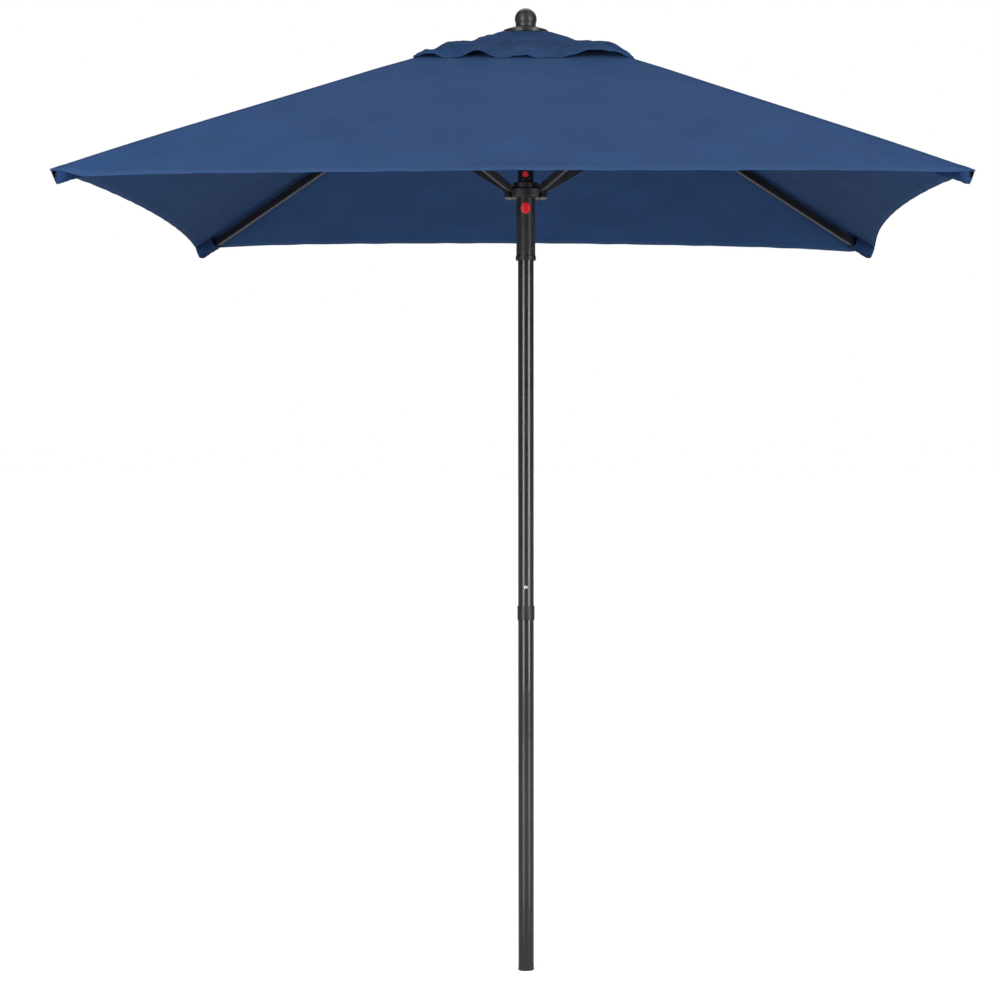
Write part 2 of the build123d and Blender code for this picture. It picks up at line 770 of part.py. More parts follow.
def make_strut_foot(angle_deg, name):
    """Fitting in the strut's lower end: a tongue with two short pins that sit in the runner."""
    plane = strut_side_plane(angle_deg)
    start = strut_length - foot_start
    play = tube_wall + pin_play
    section = Plane(
        origin=plane.from_local_coords((start, 0, 0)), x_dir=plane.z_dir, z_dir=plane.x_dir
    )
    with BuildPart() as foot:
        with BuildSketch(plane):
            with BuildLine():
                Line((start, foot_half + foot_flare), (strut_length, foot_half))
                ThreePointArc(
                    (strut_length, foot_half),
                    (strut_length + foot_half, 0),
                    (strut_length, -foot_half),
                )
                Line((strut_length, -foot_half), (start, -foot_half - foot_flare))
                Line((start, -foot_half - foot_flare), (start, foot_half + foot_flare))
            make_face()
        extrude(amount=strut_width / 2, both=True)
        with BuildSketch(section):
            RectangleRounded(strut_width - 2 * play, strut_depth - 2 * play, foot_plug_edge)
        extrude(amount=-foot_plug_length)
        with BuildSketch(plane):
            with Locations((strut_length, 0)):
                Circle(pin_r)
        extrude(amount=groove_half_span - foot_pin_play, both=True)
    foot.part.label = name
    export_step(foot.part, f"parts/{name}.step")


def make_canopy_quarter(angle_deg, name):
    """The two half gores that are sewn together along one rib, as two thin panels."""
    with BuildPart() as quarter:
        for turn in (1, -1):
            add(half_gore(angle_deg + turn * 45, -turn, vent_half, canopy_width / 2, hem_bow, 0))
    quarter.part.label = name
    export_step(quarter.part, f"parts/{name}.step")


def make_vent_quarter(angle_deg, name):
    """The vent cap's two half gores at one rib, cut round where they pass under the skirt."""
    inner_half = 30.0
    bore_low, bore_height = apex_z - 150.0, 200.0
    with BuildPart() as quarter:
        for turn in (1, -1):
            add(half_gore(angle_deg + turn * 45, -turn, inner_half, cap_half, 0, cap_lift))
        with BuildSketch(Plane.XY.offset(bore_low)):
            Circle(cap_bore_r)
        extrude(amount=bore_height, mode=Mode.SUBTRACT)
    quarter.part.label = name
    export_step(quarter.part, f"parts/{name}.step")


for corner, corner_angle in corners.items():
    make_rib_bar(corner_angle, f"rib_bar_{corner}")
    make_rib_tip(corner_angle, f"rib_tip_{corner}")
    make_strut_bracket(corner_angle, f"strut_bracket_{corner}")
    pin_name, rivet_name = f"bracket_pin_{corner}", f"bracket_rivet_{corner}"
    make_cross_pin(corner_angle, bracket_s, bracket_drop, pin_r, pin_head_r, pin_name)
    make_cross_pin(corner_angle, bracket_s, rivet_drop, rivet_r, rivet_head_r, rivet_name)
    make_strut_bar(corner_angle, f"strut_bar_{corner}")
    make_strut_foot(corner_angle, f"strut_foot_{corner}")
    make_canopy_quarter(corner_angle, f"canopy_quarter_{corner}")
    make_vent_quarter(corner_angle, f"vent_cap_quarter_{corner}")
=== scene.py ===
import math

import bpy
import numpy as np
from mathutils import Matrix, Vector, noise


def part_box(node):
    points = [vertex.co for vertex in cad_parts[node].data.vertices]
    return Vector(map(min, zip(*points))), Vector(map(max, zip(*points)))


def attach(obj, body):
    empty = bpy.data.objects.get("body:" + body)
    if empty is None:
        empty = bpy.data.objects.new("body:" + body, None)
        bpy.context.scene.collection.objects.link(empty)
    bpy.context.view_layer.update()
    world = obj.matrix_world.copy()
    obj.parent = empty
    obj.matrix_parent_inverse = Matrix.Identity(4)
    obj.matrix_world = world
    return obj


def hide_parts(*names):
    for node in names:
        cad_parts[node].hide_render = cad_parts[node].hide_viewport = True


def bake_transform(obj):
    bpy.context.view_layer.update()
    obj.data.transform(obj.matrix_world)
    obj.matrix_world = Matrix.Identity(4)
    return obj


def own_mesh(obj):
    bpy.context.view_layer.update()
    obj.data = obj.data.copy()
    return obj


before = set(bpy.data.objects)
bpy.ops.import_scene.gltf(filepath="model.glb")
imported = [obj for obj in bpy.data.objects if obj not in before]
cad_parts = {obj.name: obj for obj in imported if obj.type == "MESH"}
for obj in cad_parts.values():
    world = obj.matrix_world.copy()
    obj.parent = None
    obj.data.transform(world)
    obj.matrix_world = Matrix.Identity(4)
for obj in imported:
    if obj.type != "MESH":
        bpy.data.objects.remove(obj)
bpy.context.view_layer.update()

# Square patio umbrella around its CAD frame. Metres, +Z up, -Y is the front.

CORNERS = {"front_left": 225.0, "front_right": 315.0, "back_right": 45.0, "back_left": 135.0}
GORES = {270.0: "front", 0.0: "right", 90.0: "back", 180.0: "left"}

# ---- shape of the canopy, from the frame ------------------------------------------------
RIB_FALL = 0.352                       # a ridge drops this much for each unit it runs out
GORE_FALL = RIB_FALL * math.sqrt(2)
VENT_HALF = 0.180                      # half width of the opening under the vent cap
CAP_HALF = 0.252                       # half width of the vent cap
HEM_BOW = 0.030                        # how far the middle of a hem pulls in
HEM_WIDTH = 0.020
FABRIC_T = 0.0009

quarter_low, quarter_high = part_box("canopy_quarter_front_left")
HALF_WIDTH = -quarter_low[0]
APEX = np.array([0.0, 0.0, quarter_high[2] + GORE_FALL * VENT_HALF])
SLOPE = math.atan(RIB_FALL)
DOWN_PER_RUN = math.hypot(1.0, GORE_FALL)    # down a gore's mid-line for each unit of run
SEAM_ANGLE = math.atan2(1.0, DOWN_PER_RUN)   # between a gore's mid-line and its ridges
SEAM_COS, SEAM_SIN = math.cos(SEAM_ANGLE), math.sin(SEAM_ANGLE)
CORNER_S = HALF_WIDTH * math.sqrt(2) / math.cos(SLOPE)   # ridge length, apex to corner

skirt_low, skirt_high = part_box("finial_skirt")
SKIRT_R = skirt_high[0]

# A fold brings the four ribs beside the pole. Within BAND of its ridge the fabric rides on
# the rib as it is, and the rest of each half gore is a separate panel, also on the rib.
BAND = 0.0436
CAP_BAND = 0.0460


def smooth(low, high, value):
    t = np.clip((value - low) / (high - low), 0.0, 1.0)
    return t * t * (3 - 2 * t)


def gore_axes(corner_angle, turn):
    """Down the ridge, across the gore from the ridge, and out of the gore, as unit vectors."""
    ridge = math.radians(corner_angle)
    middle = math.radians(corner_angle + 45 * turn)
    down = np.array(
        [math.cos(SLOPE) * math.cos(ridge), math.cos(SLOPE) * math.sin(ridge), -math.sin(SLOPE)]
    )
    out = np.array([GORE_FALL * math.cos(middle), GORE_FALL * math.sin(middle), 1.0])
    out /= np.linalg.norm(out)
    return down, np.cross(out, down) * turn, out


def ridge_out(corner_angle):
    """Out of the fabric on a ridge, long enough to reach where both gores' faces meet."""
    ridge = math.radians(corner_angle)
    up = np.array(
        [math.sin(SLOPE) * math.cos(ridge), math.sin(SLOPE) * math.sin(ridge), math.cos(SLOPE)]
    )
    return up / float(up @ gore_axes(corner_angle, 1)[2])


def hem_line(half, bow):
    """Distance down a gore of its bowed hem, as a function of the distance from the mid-line."""
    if bow == 0:
        return lambda lateral: np.full_like(lateral, half * DOWN_PER_RUN)
    radius = (half**2 + bow**2) / (2 * bow)
    return lambda lateral: half * DOWN_PER_RUN - bow + radius - np.sqrt(radius**2 - lateral**2)


def across(share, q, inner, hem):
    """Distance from the mid-line where the row at that share crosses the line at q."""
    lateral = np.zeros(np.broadcast(share, q).shape)
    for _ in range(12):
        m = inner + share * (hem(lateral) - inner)
        lateral = (m * SEAM_SIN - q) / SEAM_COS
    return lateral


def cloth_coordinates(share, lateral, inner, hem):
    """Distance down the gore, along the ridge and across from it, for points of a row."""
    m = inner + share * (hem(lateral) - inner)
    return m, m * SEAM_COS + lateral * SEAM_SIN, m * SEAM_SIN - lateral * SEAM_COS


# ---- relief of the fabric ---------------------------------------------------------------
# How much more than HEM_BOW the middle of each gore's hem pulls in.
HEM_PULL = {"front": 0.0, "right": 0.020, "back": 0.018, "left": 0.010}
# How much of the full bow of a ridge each corner has.
RIDGE_BOW = {"front_left": 0.75, "front_right": 0.55, "back_right": 0.8, "back_left": 0.7}


# How far the hem hangs beside a rib's tip, on the gore named with the corner. Below 0 it lifts.
DROOP = {
    ("front_left", "front"): 0.0145,
    ("front_right", "front"): 0.0030,
    ("back_right", "back"): 0.0110,
    ("back_left", "back"): -0.0040,
}


BOW_START, BOW_REACH = 0.30, 0.30    # where a ridge's bow starts, and how far it spreads


def main_relief(s, q, share, spread, corner, gore):
    """How far the main canopy stands off its flat gore. spread runs from band to mid-line."""
    x = np.clip((s - BOW_START) / (CORNER_S - BOW_START), 0.0, 1.0)
    bow = 0.0035 * smooth(0.34, 0.52, s) + 0.005 * np.sin(math.pi * x**2) + 0.005 * x**3
    bow = RIDGE_BOW[corner] * bow * np.exp(-((q / BOW_REACH) ** 2))
    sag = -0.004 * share**2 * np.sin(math.pi * spread / 2) ** 2
    away = 1 - spread
    size = 0.15 + 0.85 * share
    pleats = np.cos(14 * math.pi * away) + 0.5 * np.cos(22 * math.pi * away)
    pleats = 0.00050 * size * pleats * smooth(0.0, 0.16, spread)
    reach = np.hypot(s - CORNER_S, q)
    fan = np.arctan2(q, CORNER_S - s + 1e-6)
    creases = 0.0024 * np.exp(-reach / 0.09) * np.sin(15 * fan) * smooth(0.0, 0.03, reach)
    droop = -DROOP.get((corner, gore), 0.0) * smooth(0.008, 0.050, q) * share**3
    droop = droop * (1 - spread) ** 1.2
    return bow + sag + pleats + creases + droop


# Where each free edge of the vent cap stands up: centre along the edge, half width, height.
CAP_RUFFLES = {
    "front": ((-0.100, 0.032, 0.0130), (0.010, 0.016, 0.0016), (0.155, 0.046, 0.0130)),
    "right": ((-0.130, 0.040, 0.0120), (0.060, 0.050, 0.0090)),
    "back": ((-0.150, 0.045, 0.0110), (0.020, 0.040, 0.0070), (0.165, 0.030, 0.0120)),
    "left": ((-0.060, 0.040, 0.0100), (0.140, 0.045, 0.0130)),
}
CAP_RIDGE_LIFT = {
    "front_left": 0.006, "front_right": 0.011, "back_right": 0.008, "back_left": 0.008,
}


def crumple(points):
    """Soft creases of the loose vent cap, from a fixed noise field."""
    flat = points.reshape(-1, 3)
    heights = np.empty(len(flat))
    for index, (x, y, _) in enumerate(flat):
        broad = noise.noise(Vector((x * 13.0, y * 13.0, 3.1)))
        ridged = 1.0 - abs(noise.noise(Vector((x * 21.0 + y * 6.0, y * 17.0, 8.7)))) * 3.0
        heights[index] = 0.0034 * broad + 0.0025 * ridged
    return heights.reshape(points.shape[:-1])


def cap_relief(points, m, s, q, lateral, corner, gore, turn):
    """How far the vent cap stands off its flat gore."""
    base = -0.0020 + 0.0055 * smooth(0.13, 0.20, m)
    x = np.clip((s - 0.17) / (CAP_HALF * math.sqrt(2) / math.cos(SLOPE) - 0.17), 0.0, 1.0)
    ridge = CAP_RIDGE_LIFT[corner] * smooth(0.0, 0.50, x) * (1 - smooth(0.91, 1.0, x))
    ridge = ridge * np.exp(-((q / 0.055) ** 2))
    along = -turn * lateral
    ruffle = np.zeros_like(m)
    for centre, width, height in CAP_RUFFLES[gore]:
        ruffle += height * np.exp(-(((along - centre) / width) ** 2))
    ruffle *= np.clip((m / DOWN_PER_RUN - 0.15) / (CAP_HALF - 0.15), 0.0, 1.0) ** 2
    radius = np.hypot(points[..., 0], points[..., 1])
    round_axis = np.arctan2(points[..., 1], points[..., 0])
    folds = np.sin(16 * round_axis + 2.4 * np.sin(3 * round_axis + 0.8))
    folds = 0.0032 * folds * smooth(0.060, 0.150, radius) * smooth(0.0, 0.02, q)
    creases = crumple(points) * smooth(0.075, 0.12, radius)
    relief = base + ridge + ruffle + creases + folds
    return np.where(m > 0.19, np.maximum(relief, 0.0022), relief)


# ---- mesh building ----------------------------------------------------------------------
class Cloth:
    """A sheet's points, gathered from one or more grids that share their border points."""

    def __init__(self):
        self.index, self.middle, self.top, self.bottom = {}, [], [], []
        self.flat, self.hem_gap, self.quads = [], [], []

    def add_grid(self, middle, out, top_t, bottom_t, s, q, hem_gap):
        """middle and out are rows x columns x 3, and the rest are rows x columns."""
        rows, columns = s.shape
        numbers = np.empty((rows, columns), int)
        for i in range(rows):
            for j in range(columns):
                key = tuple(np.round(middle[i, j] * 1e6).astype(int))
                if key not in self.index:
                    self.index[key] = len(self.middle)
                    self.middle.append(middle[i, j])
                    self.top.append(middle[i, j] + out[i, j] * top_t[i, j])
                    self.bottom.append(middle[i, j] - out[i, j] * bottom_t[i, j])
                    self.flat.append((s[i, j], q[i, j]))
                    self.hem_gap.append(hem_gap[i, j])
                numbers[i, j] = self.index[key]
        for i in range(rows - 1):
            for j in range(columns - 1):
                quad = (numbers[i, j], numbers[i + 1, j], numbers[i + 1, j + 1], numbers[i, j + 1])
                self.quads.append(tuple(int(v) for v in quad))

    def make(self, name, material):
        """A closed thin mesh: upper face, under face and rim."""
        count = len(self.middle)
        points = np.array(self.middle)
        first = self.quads[len(self.quads) // 2]
        normal = np.cross(points[first[1]] - points[first[0]], points[first[3]] - points[first[0]])
        tops = self.quads if normal[2] > 0 else [quad[::-1] for quad in self.quads]
        used = {(a, b) for quad in tops for a, b in zip(quad, quad[1:] + quad[:1])}
        rim = [(a, b) for a, b in used if (b, a) not in used]
        faces = list(tops)
        faces += [tuple(v + count for v in reversed(quad)) for quad in tops]
        faces += [(b, a, a + count, b + count) for a, b in sorted(rim)]
        mesh = bpy.data.meshes.new(name)
        mesh.from_pydata([tuple(p) for p in self.top + self.bottom], [], faces)
        uv = mesh.uv_layers.new(name="cloth")
        flat = np.array(self.flat * 2, np.float32)
        loops = np.empty(len(mesh.loops), np.int32)
        mesh.loops.foreach_get("vertex_index", loops)
        uv.data.foreach_set("uv", flat[loops].ravel())
        gap = mesh.attributes.new("hem_gap", "FLOAT", "POINT")
        gap.data.foreach_set("value", np.array(self.hem_gap * 2, np.float32))
        mesh.polygons.foreach_set("use_smooth", [True] * len(mesh.polygons))
        mesh.set_sharp_from_angle(angle=math.radians(40))
        mesh.materials.append(material)
        mesh.validate()
        made = bpy.data.objects.new(name, mesh)
        bpy.context.scene.collection.objects.link(made)
        return made

    def flat_area(self):
        """Area of the cut piece, from its flat coordinates."""
        flat = np.array(self.flat)
        total = 0.0
        for quad in self.quads:
            x, y = flat[list(quad), 0], flat[list(quad), 1]
            total += abs(x @ np.roll(y, -1) - y @ np.roll(x, -1)) / 2
        return float(total)


def hem_thickness(gap):
    """Upper and under thickness of the fabric, which is doubled along its hem."""
    hem = 1.0 - smooth(HEM_WIDTH, HEM_WIDTH + 0.0015, gap)
    return 0.0002 + 0.0004 * hem, FABRIC_T - 0.0002 + 0.0006 * hem


# ---- node helpers -----------------------------------------------------------------------
def node(tree, kind, inputs=None, **settings):
    made = tree.nodes.new("ShaderNode" + kind)
    for key, value in settings.items():
        setattr(made, key, value)
    for key, value in (inputs or {}).items():
        if isinstance(value, bpy.types.NodeSocket):
            tree.links.new(value, made.inputs[key])
        else:
            made.inputs[key].default_value = value
    return made


def math_node(tree, operation, a, b=0.0, c=0.0):
    return node(tree, "Math", {0: a, 1: b, 2: c}, operation=operation).outputs[0]


def ramp_between(tree, value, low, high, to_low=0.0, to_high=1.0):
    inputs = {
        "Value": value, "From Min": low, "From Max": high, "To Min": to_low, "To Max": to_high,
    }
    return node(tree, "MapRange", inputs, interpolation_type="SMOOTHSTEP").outputs[0]


def noise_of(tree, vector, scale, detail=2.0, roughness=0.5):
    inputs = {"Vector": vector, "Scale": scale, "Detail": detail, "Roughness": roughness}
    return node(tree, "TexNoise", inputs).outputs["Fac"]


def mix_colour(tree, factor, a, b):
    made = node(tree, "Mix", data_type="RGBA")
    for socket, value in ((made.inputs[0], factor), (made.inputs[6], a), (made.inputs[7], b)):
        if isinstance(value, bpy.types.NodeSocket):
            tree.links.new(value, socket)
        else:
            socket.default_value = value
    return made.outputs[2]


def stretched(tree, vector, scale):
    return node(tree, "VectorMath", {0: vector, 1: scale}, operation="MULTIPLY").outputs[0]


def start_material(name, **constants):
    """A material and its tree and shader, with the constants set on the shader's sockets."""
    material = bpy.data.materials.new(name)
    material.use_nodes = True
    tree = material.node_tree
    shader = tree.nodes["Principled BSDF"]
    for key, value in constants.items():
        shader.inputs[key.replace("_", " ")].default_value = value
    return material, tree, shader


def connect(tree, shader, colour, roughness, height, distance):
    bump = node(tree, "Bump", {"Height": height, "Distance": distance, "Strength": 1.0})
    tree.links.new(colour, shader.inputs["Base Color"])
    tree.links.new(roughness, shader.inputs["Roughness"])
    tree.links.new(bump.outputs[0], shader.inputs["Normal"])


# ---- materials --------------------------------------------------------------------------
NAVY = (0.0146, 0.0374, 0.0990)
NAVY_DEEP = (0.0126, 0.0334, 0.0900)
NAVY_LIGHT = (0.0215, 0.0500, 0.1200)
STITCH = (0.005, 0.011, 0.030)
THREAD_PITCH = 0.0011        # one over-and-under of the plain weave
STITCH_PITCH = 0.0042


def with_shade_tone(colour, shade_tone):
    """A fabric colour scaled by one cloth's tone, which below one is painted shade, with an alpha
    of 1.
    """
    return tuple(part * share for part, share in zip(colour, shade_tone)) + (1.0,)


def fabric_material(name, seam_lines, shade_tone, creasing, fade_and_shade_depth):
    """Woven polyester with slubs, darker patches (random fading, on the vent cap painted crease
    shade), a lighter hem and rows of lockstitch, all scaled by a tone that below one is painted
    shade.
    """
    material, tree, shader = start_material(
        name, Sheen_Weight=0.01, Sheen_Roughness=0.45, Specular_IOR_Level=0.05, IOR=1.3
    )
    uv = node(tree, "UVMap", uv_map="cloth").outputs[0]
    parts = node(tree, "SeparateXYZ", {0: uv}).outputs
    warp = math_node(tree, "SINE", math_node(tree, "MULTIPLY", parts[0], math.tau / THREAD_PITCH))
    weft = math_node(tree, "SINE", math_node(tree, "MULTIPLY", parts[1], math.tau / THREAD_PITCH))
    weave = math_node(tree, "MULTIPLY", warp, weft)
    slub_along = noise_of(tree, stretched(tree, uv, (30.0, 900.0, 1.0)), 1.0, 3.0)
    slub_over = noise_of(tree, stretched(tree, uv, (900.0, 30.0, 1.0)), 1.0, 3.0)
    slubs = math_node(tree, "ADD", slub_along, slub_over)
    fade_and_shade_patches = noise_of(tree, uv, 3.5 + creasing, 4.0, 0.6)
    wrinkle = noise_of(tree, uv, 26.0, 3.0, 0.5)
    gap = node(tree, "Attribute", attribute_name="hem_gap").outputs["Fac"]
    hem = ramp_between(tree, gap, HEM_WIDTH, HEM_WIDTH + 0.001, 1.0, 0.0)

    # Lockstitch: a dark dash in every STITCH_PITCH, on lines at fixed distances.
    dash_phase = math_node(tree, "MULTIPLY", parts[0], math.tau / STITCH_PITCH)
    dash_along = math_node(tree, "SINE", dash_phase)
    off_hem = math_node(tree, "ABSOLUTE", math_node(tree, "SUBTRACT", gap, HEM_WIDTH - 0.003))
    stitches = ramp_between(tree, off_hem, 0.0004, 0.0009, 1.0, 0.0)
    for line in seam_lines:
        off_seam = math_node(tree, "ABSOLUTE", math_node(tree, "SUBTRACT", parts[1], line))
        row = ramp_between(tree, off_seam, 0.0004, 0.0009, 1.0, 0.0)
        stitches = math_node(tree, "MAXIMUM", stitches, row)
    stitches = math_node(tree, "MULTIPLY", stitches, ramp_between(tree, dash_along, -0.5, 0.1))

    # Darker patches: random fading, and on the vent cap, whose patches go deepest, painted shade of
    # its creases.
    deep = tuple(fade_and_shade_depth * part for part in with_shade_tone(NAVY_DEEP, shade_tone)[:3]) + (1.0,)
    colour = mix_colour(tree, ramp_between(tree, fade_and_shade_patches, 0.35, 0.68), deep, with_shade_tone(NAVY, shade_tone))
    light = with_shade_tone(NAVY_LIGHT, shade_tone)
    colour = mix_colour(tree, ramp_between(tree, slubs, 0.75, 1.25, 0.0, 0.30), colour, light)
    colour = mix_colour(tree, math_node(tree, "MULTIPLY", hem, 0.45), colour, light)
    thread = math_node(tree, "MULTIPLY", stitches, 0.75)
    colour = mix_colour(tree, thread, colour, with_shade_tone(STITCH, shade_tone))
    roughness = ramp_between(tree, slubs, 0.7, 1.3, 0.74, 0.90)
    height = math_node(tree, "MULTIPLY_ADD", weave, 0.16, math_node(tree, "MULTIPLY", slubs, 0.20))
    height = math_node(tree, "MULTIPLY_ADD", wrinkle, creasing, height)
    height = math_node(tree, "MULTIPLY_ADD", stitches, -0.9, height)
    connect(tree, shader, colour, roughness, height, 0.0006)
    return material


def paint_material(name, colour, worn, gloss, scuffed):
    """Powder-coated tube: fine orange peel, a little dust, and scuffs along its length."""
    material, tree, shader = start_material(
        name, Specular_IOR_Level=0.30, Coat_Weight=0.20, Coat_Roughness=0.06
    )
    place = node(tree, "TexCoord").outputs["Object"]
    peel = noise_of(tree, place, 1100.0, 2.0)
    dust = noise_of(tree, place, 9.0, 4.0, 0.6)
    scratches = noise_of(tree, stretched(tree, place, (2600.0, 2600.0, 26.0)), 1.0, 3.0, 0.6)
    scuffs = ramp_between(tree, scratches, 0.66, 0.80)
    scuffs = math_node(tree, "MULTIPLY", scuffs, ramp_between(tree, dust, 0.42, 0.62, 0.1, 1.0))
    scuffs = math_node(tree, "MULTIPLY", scuffs, scuffed)
    base = mix_colour(tree, ramp_between(tree, dust, 0.3, 0.75), colour, worn)
    base = mix_colour(tree, scuffs, base, (0.10, 0.10, 0.105, 1.0))
    rough = ramp_between(tree, dust, 0.3, 0.7, gloss, gloss + 0.12)
    rough = math_node(tree, "MULTIPLY_ADD", scuffs, 0.25, rough)
    height = math_node(tree, "MULTIPLY_ADD", scuffs, -0.5, peel)
    connect(tree, shader, base, rough, height, 0.00004)
    return material


def plastic_material(name, colour, rubbed, gloss, grain):
    """Moulded plastic: spark-eroded grain, faint flow marks, rubbed lighter here and there."""
    material, tree, shader = start_material(name, Specular_IOR_Level=0.30)
    place = node(tree, "TexCoord").outputs["Object"]
    fine = noise_of(tree, place, 1500.0, 3.0, 0.7)
    flow = noise_of(tree, stretched(tree, place, (60.0, 60.0, 14.0)), 1.0, 4.0, 0.6)
    base = mix_colour(tree, ramp_between(tree, flow, 0.35, 0.75), colour, rubbed)
    base = mix_colour(tree, ramp_between(tree, fine, 0.55, 0.8, 0.0, 0.25), base, rubbed)
    rough = ramp_between(tree, flow, 0.3, 0.7, gloss - 0.05, gloss + 0.07)
    connect(tree, shader, base, rough, fine, grain)
    return material


def steel_material(name, colour, gloss):
    """Plated steel: fine drawn lines and a few dull spots."""
    material, tree, shader = start_material(name, Metallic=1.0)
    place = node(tree, "TexCoord").outputs["Object"]
    drawn = noise_of(tree, stretched(tree, place, (300.0, 4200.0, 4200.0)), 1.0, 2.0)
    spots = noise_of(tree, place, 420.0, 3.0, 0.6)
    dull = tuple(0.6 * c for c in colour[:3]) + (1.0,)
    base = mix_colour(tree, ramp_between(tree, spots, 0.5, 0.75, 0.0, 0.6), colour, dull)
    rough = ramp_between(tree, spots, 0.4, 0.7, gloss, gloss + 0.2)
    connect(tree, shader, base, rough, drawn, 0.00002)
    return material


fabric = fabric_material("canopy_cloth", (0.0035, 0.0062), (1.0, 1.0, 1.0), 2.0, 0.95)
# The vent cap is the canopy's cloth toned down to about 0.8 of its colour, with deeper dark
# patches: painted shade over the cap and its creases.
shaded_cap_fabric = fabric_material("vent_cap_cloth_painted_shade", (0.0035,), (0.76, 0.87, 0.92), 7.0, 0.62)
# The pockets are the canopy's cloth at about half its colour: painted shade of the recess under
# each corner.
shaded_pocket_fabric = fabric_material("pocket_cloth_painted_shade", (0.0035,), (0.50, 0.56, 0.63), 3.0, 0.95)
finishes = {
    "pole_paint": paint_material(
        "pole_coating", (0.0055, 0.0060, 0.0070, 1.0), (0.0085, 0.0085, 0.0090, 1.0), 0.20, 1.0
    ),
    "rib_paint": paint_material(
        "rib_coating", (0.004, 0.005, 0.007, 1.0), (0.008, 0.008, 0.010, 1.0), 0.40, 0.6
    ),
    "black_plastic": plastic_material(
        "black_moulding", (0.0060, 0.0060, 0.0068, 1.0), (0.011, 0.011, 0.012, 1.0), 0.38, 0.00005
    ),
    "red_plastic": plastic_material(
        "red_moulding", (0.400, 0.003, 0.008, 1.0), (0.460, 0.010, 0.014, 1.0), 0.34, 0.00002
    ),
    "bright_steel": steel_material("bright_plating", (0.72, 0.72, 0.70, 1.0), 0.22),
    "zinc_steel": steel_material("zinc_plating", (0.50, 0.51, 0.53, 1.0), 0.36),
}

PLATED = ("snap_button", "snap_button_spring", "latch_button_spring", "runner_button_spring")
ZINC = ("hub_hinge_pins", "hub_screws", "finial_stud", "canopy_clamp_washer")


def finish_of(name):
    """Which finish a CAD node has."""
    if name in PLATED:
        return "bright_steel"
    if name in ZINC or name.startswith(("bracket_pin", "bracket_rivet")):
        return "zinc_steel"
    if name in ("lower_pole", "upper_pole"):
        return "pole_paint"
    if name in ("runner_button", "pole_latch_button"):
        return "red_plastic"
    if name.startswith(("rib_bar", "strut_bar", "strut_bracket")):
        return "rib_paint"
    return "black_plastic"


for name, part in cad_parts.items():
    for material_slot in part.material_slots:
        material_slot.material = finishes[finish_of(name)]

# ---- main canopy ------------------------------------------------------------------------
MAIN_INNER = VENT_HALF * DOWN_PER_RUN
main_hem = hem_line(HALF_WIDTH, HEM_BOW)
hem_share = 1 - HEM_WIDTH / (HALF_WIDTH * DOWN_PER_RUN - HEM_BOW - MAIN_INNER)
main_rows = np.concatenate(
    [np.linspace(0.0, hem_share - 0.003, 62), np.linspace(hem_share, 1.0, 4)]
)[:, None]
seam_columns = [0.0, 0.003, 0.0068, 0.0074]
band_columns = np.array(seam_columns + list(np.linspace(0.014, BAND, 5)))[None, :]
panel_columns = np.linspace(0.0, 1.0, 73)[None, :]


def place_on_gore(axes, s, q, relief):
    down, side, out = axes
    flat = APEX + s[..., None] * down + q[..., None] * side
    return flat + relief[..., None] * out


def seam_tape(q):
    """Extra thickness of the felled seam along a ridge, above and below."""
    tape = 1.0 - smooth(0.0068, 0.0074, q)
    return 0.0005 * tape, 0.0007 * tape


def band_grid(cloth, corner_angle, turn, columns, rows, inner, hem, relief_of):
    """One side of the strip that rides on a rib, from its ridge out to the band's edge."""
    axes = gore_axes(corner_angle, turn)
    q = np.broadcast_to(columns, (rows.shape[0], columns.shape[1])).copy()
    lateral = across(rows, columns, inner, hem)
    m, s, _ = cloth_coordinates(rows, lateral, inner, hem)
    relief = relief_of(s, q, rows, np.zeros_like(q))
    out = np.broadcast_to(axes[2], q.shape + (3,)).copy()
    on_ridge = q == 0.0
    out[on_ridge] = ridge_out(corner_angle)
    down, side, _ = axes
    middle = APEX + s[..., None] * down + q[..., None] * side + relief[..., None] * out
    gap = hem(lateral) - m
    top_t, bottom_t = hem_thickness(gap)
    tape_top, tape_bottom = seam_tape(q)
    cloth.add_grid(middle, out, top_t + tape_top, bottom_t + tape_bottom, s, q, gap)


def main_relief_at(corner, corner_angle, turn):
    """The relief of a half gore, as a function of a grid's flat coordinates."""
    gore = GORES[(corner_angle + 45 * turn) % 360]
    return lambda s, q, rows, spread: main_relief(
        s, q, np.broadcast_to(rows, s.shape), spread, corner, gore
    )


def panel_grid(cloth, axes, border, rows, columns, inner, hem, pull, relief_of):
    """A half gore from its band's edge to its mid-line."""
    edge = across(rows, border, inner, hem)
    lateral = edge * (1 - columns)
    m = cloth_coordinates(rows, lateral, inner, hem)[0]
    gap = hem(lateral) - m
    m = m - pull * rows**3 * (1 - (1 - columns) ** 2)
    s = m * SEAM_COS + lateral * SEAM_SIN
    q = m * SEAM_SIN - lateral * SEAM_COS
    relief = relief_of(s, q, rows, np.broadcast_to(columns, s.shape))
    out = np.broadcast_to(axes[2], s.shape + (3,))
    middle = place_on_gore(axes, s, q, relief)
    top_t, bottom_t = hem_thickness(gap)
    cloth.add_grid(middle, out, top_t, bottom_t, s, q, gap)


def declare_sheet(cloth, width, length):
    """Works out a cut piece's area from its flat coordinates, at most width times length, and keeps
    nothing of it.
    """
    area = min(cloth.flat_area(), width * length)


def make_main_band(corner, corner_angle):
    cloth = Cloth()
    for turn in (1, -1):
        band_grid(
            cloth, corner_angle, turn, band_columns, main_rows, MAIN_INNER, main_hem,
            main_relief_at(corner, corner_angle, turn),
        )
    band = cloth.make(f"canopy_seam_{corner}", fabric)
    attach(band, f"rib_{corner}")
    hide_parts(f"canopy_quarter_{corner}")
    return band, cloth


